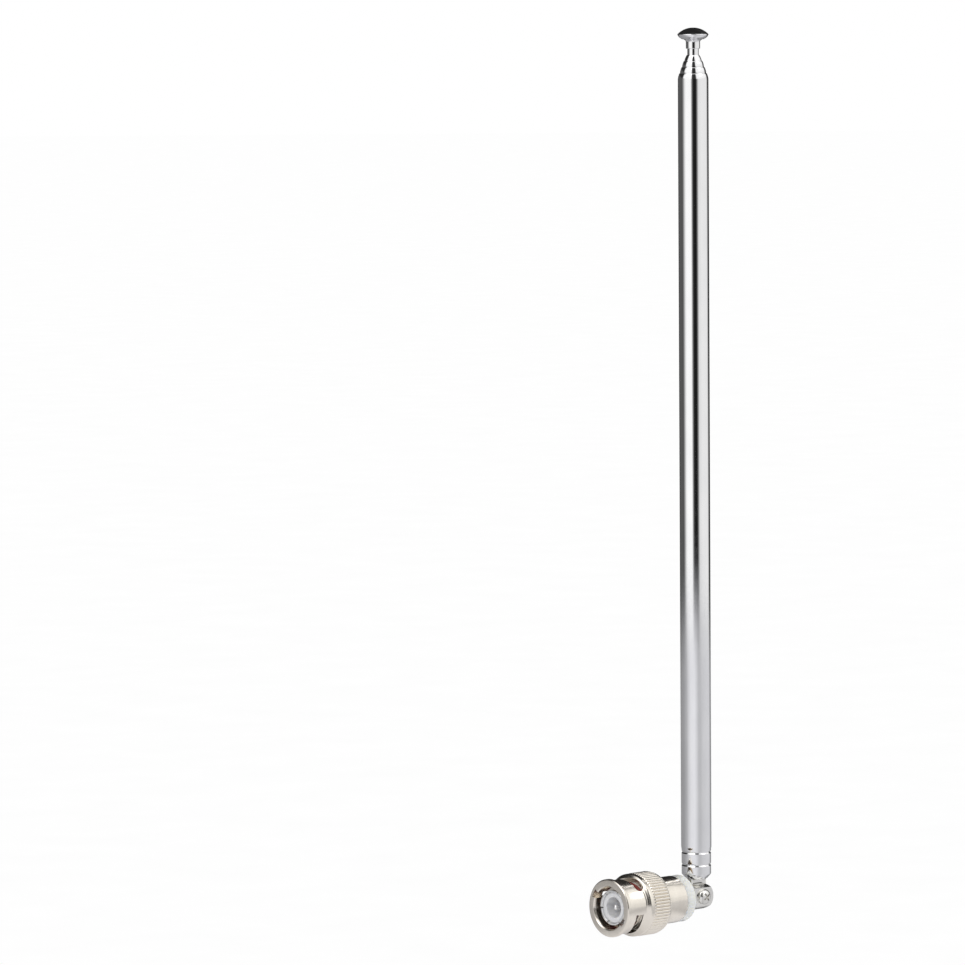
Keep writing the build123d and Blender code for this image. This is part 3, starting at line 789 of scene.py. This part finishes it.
def add_floor():
    """Floor that lights the object from below and shows in its reflections, with a painted emission
    glow that varies by direction in place of uneven light falling on it, fading out where the paper
    ends.
    is never hidden."""
    floor, tree, shader = floor_disc("floor", cad_low.z - FLOOR_GAP)
    new, link = tree.nodes.new, tree.links.new
    fibre = noise(tree, PAPER_FIBRE, 5.0)
    link(ramp(tree, fibre, [(0.3, (0.44, 0.44, 0.45)), (0.7, (0.47, 0.47, 0.48))]),
         shader.inputs["Base Color"])
    shader.inputs["Roughness"].default_value = 0.9
    shader.inputs["Specular IOR Level"].default_value = 0.1
    source = new("ShaderNodeTexCoord")
    share, _ = turned_share(tree, source.outputs["Object"])
    # Painted light: an emission glow on the floor, brighter on some sides than others, stands in
    # for light falling on it and shows in the metal's reflections.
    glow = new("ShaderNodeEmission")
    link(ramp(tree, share, [((a + 180) / 360, (v, v, v * 1.03)) for a, v in FLOOR_PAINTED_GLOW]),
         glow.inputs["Color"])
    lit_with_painted_glow = new("ShaderNodeAddShader")
    link(shader.outputs["BSDF"], lit_with_painted_glow.inputs[0])
    link(glow.outputs["Emission"], lit_with_painted_glow.inputs[1])
    reach = new("ShaderNodeVectorMath")
    reach.operation = "LENGTH"
    link(source.outputs["Object"], reach.inputs[0])
    fade = new("ShaderNodeMapRange")
    fade.interpolation_type = "SMOOTHSTEP"
    fade.inputs["From Min"].default_value = FLOOR_FADE[0]
    fade.inputs["From Max"].default_value = FLOOR_FADE[1]
    link(reach.outputs["Value"], fade.inputs["Value"])
    clear = new("ShaderNodeBsdfTransparent")
    bounced = new("ShaderNodeMixShader")
    link(fade.outputs["Result"], bounced.inputs[0])
    link(lit_with_painted_glow.outputs["Shader"], bounced.inputs[1])
    link(clear.outputs["BSDF"], bounced.inputs[2])
    path = new("ShaderNodeLightPath")
    chosen = new("ShaderNodeMixShader")
    link(path.outputs["Is Camera Ray"], chosen.inputs[0])
    link(bounced.outputs["Shader"], chosen.inputs[1])
    link(clear.outputs["BSDF"], chosen.inputs[2])
    link(chosen.outputs["Shader"], tree.nodes["Material Output"].inputs["Surface"])


def add_low_floor():
    """Plain pale paper below the reach of the extended whip, for the camera alone."""
    floor, tree, _ = floor_disc("low_floor", -LOW_FLOOR_DEPTH)
    new, link = tree.nodes.new, tree.links.new
    fibre = noise(tree, PAPER_FIBRE, 5.0)
    paper = new("ShaderNodeEmission")
    link(ramp(tree, fibre, [(0.3, (0.985, 0.985, 0.985)), (0.7, (1.0, 1.0, 1.0))]),
         paper.inputs["Color"])
    clear = new("ShaderNodeBsdfTransparent")
    path = new("ShaderNodeLightPath")
    chosen = new("ShaderNodeMixShader")
    link(path.outputs["Is Camera Ray"], chosen.inputs[0])
    link(clear.outputs["BSDF"], chosen.inputs[1])
    link(paper.outputs["Emission"], chosen.inputs[2])
    link(chosen.outputs["Shader"], tree.nodes["Material Output"].inputs["Surface"])


def turned_share(tree, vector):
    """Angle of a direction from the camera's direction, as a share of the full turn with the
    camera at one half, and the turned direction's axes."""
    turned = tree.nodes.new("ShaderNodeVectorRotate")
    turned.rotation_type = "Z_AXIS"
    turned.inputs["Angle"].default_value = math.radians(90 - VIEW_AZIMUTH)
    tree.links.new(vector, turned.inputs["Vector"])
    axes = tree.nodes.new("ShaderNodeSeparateXYZ")
    tree.links.new(turned.outputs["Vector"], axes.inputs["Vector"])
    angle = tree.nodes.new("ShaderNodeMath")
    angle.operation = "ARCTAN2"
    tree.links.new(axes.outputs["Y"], angle.inputs[0])
    tree.links.new(axes.outputs["X"], angle.inputs[1])
    share = tree.nodes.new("ShaderNodeMapRange")
    share.inputs["From Min"].default_value = -math.pi
    share.inputs["From Max"].default_value = math.pi
    tree.links.new(angle.outputs["Value"], share.inputs["Value"])
    return share.outputs["Result"], axes


# Floors, in metres; the fade is given as distances from the whip.
FLOOR_REACH = 1.1
FLOOR_FAR_HALF = FLOOR_REACH + 3.2
FLOOR_DEPTH = 38
FLOOR_STEPS = 48
FLOOR_GAP = 0.00005
PAPER_FIBRE = (9, 9, 9)
FLOOR_FADE = (0.42, 0.76)
LOW_FLOOR_DEPTH = 0.9

# Brightness of the studio round the object in three layers, by the angle in degrees from the
# camera's direction: at eye level, higher up, and overhead.
AROUND = ((-180, 0.02), (-160, 0.07), (-130, 0.11), (-93, 0.10), (-80, 0.45), (-68, 0.98),
          (-56, 1.15), (-22, 1.12), (-14, 0.35), (-6, 0.03), (6, 0.012), (18, 0.015), (27, 0.25),
          (36, 0.85), (60, 0.95), (112, 0.93), (122, 0.55), (130, 0.05), (180, 0.02))
HIGHER = ((-180, 0.02), (-92, 0.03), (-80, 1.15), (-18, 1.2), (-10, 0.04), (18, 0.03),
          (28, 1.1), (118, 1.1), (132, 0.04), (180, 0.02))
ABOVE = ((-180, 0.02), (-112, 0.02), (-100, 1.2), (100, 1.2), (112, 0.02), (180, 0.02))
CROWN = ((-180, 0.03), (180, 0.03))
LAYERS = ((AROUND, None), (HIGHER, (10, 16)), (ABOVE, (50, 58)), (CROWN, (76, 84)))
# Painted glow of the floor by the angle in degrees from the camera's direction: emission that
# stands in for light falling on the floor.
FLOOR_PAINTED_GLOW = ((-180, 0.0), (-106, 0.05), (-75, 0.16), (-60, 0.35), (-40, 0.52), (-12, 0.56),
               (5, 0.42), (18, 0.26), (32, 0.24), (50, 0.32), (84, 0.38), (118, 0.40),
               (135, 0.0), (180, 0.0))


def add_world():
    world = bpy.data.worlds.new("studio")
    world.use_nodes = True
    bpy.context.scene.world = world
    tree = world.node_tree
    new, link = tree.nodes.new, tree.links.new
    source = new("ShaderNodeTexCoord")
    share, axes = turned_share(tree, source.outputs["Generated"])
    shown = None
    for table, heights in LAYERS:
        ring = ramp(tree, share, [((a + 180) / 360, (v, v, v * 0.99)) for a, v in table])
        if shown is None:
            shown = ring
            continue
        height = new("ShaderNodeMapRange")
        height.interpolation_type = "SMOOTHSTEP"
        height.inputs["From Min"].default_value = math.sin(math.radians(heights[0]))
        height.inputs["From Max"].default_value = math.sin(math.radians(heights[1]))
        link(axes.outputs["Z"], height.inputs["Value"])
        mixed = new("ShaderNodeMix")
        mixed.data_type = "RGBA"
        link(height.outputs["Result"], mixed.inputs["Factor"])
        link(shown, mixed.inputs["A"])
        link(ring, mixed.inputs["B"])
        shown = mixed.outputs["Result"]
    path = new("ShaderNodeLightPath")
    seen = new("ShaderNodeMix")
    seen.data_type = "RGBA"
    seen.inputs["B"].default_value = (1.0, 1.0, 1.0, 1)
    link(path.outputs["Is Camera Ray"], seen.inputs["Factor"])
    link(shown, seen.inputs["A"])
    link(seen.outputs["Result"], tree.nodes["Background"].inputs["Color"])


def add_softbox(name, angle, height, distance, size, power):
    """Area light at an angle from the camera's direction, aimed at the knuckle."""
    a = math.radians(VIEW_AZIMUTH - 90 + angle)
    e = math.radians(height)
    place = Vector((math.cos(a) * math.cos(e), math.sin(a) * math.cos(e), math.sin(e))) * distance
    data = bpy.data.lights.new(name, "AREA")
    data.shape = "RECTANGLE"
    data.size, data.size_y = size
    data.energy = power
    light = bpy.data.objects.new(name, data)
    bpy.context.scene.collection.objects.link(light)
    aim = Vector((PIVOT_X * MM, 0, 0.05))
    aimed = place.to_track_quat("Z", "Y").to_matrix().to_4x4()
    light.matrix_world = Matrix.Translation(aim + place) @ aimed


add_floor()
add_low_floor()
add_world()
add_softbox("key_softbox", -42, 48, 1.6, (0.9, 0.7), 3.2)
add_softbox("fill_softbox", 70, 42, 1.8, (0.8, 0.8), 2.2)
bpy.context.scene.view_settings.view_transform = "Standard"
bpy.context.scene.view_settings.look = "None"
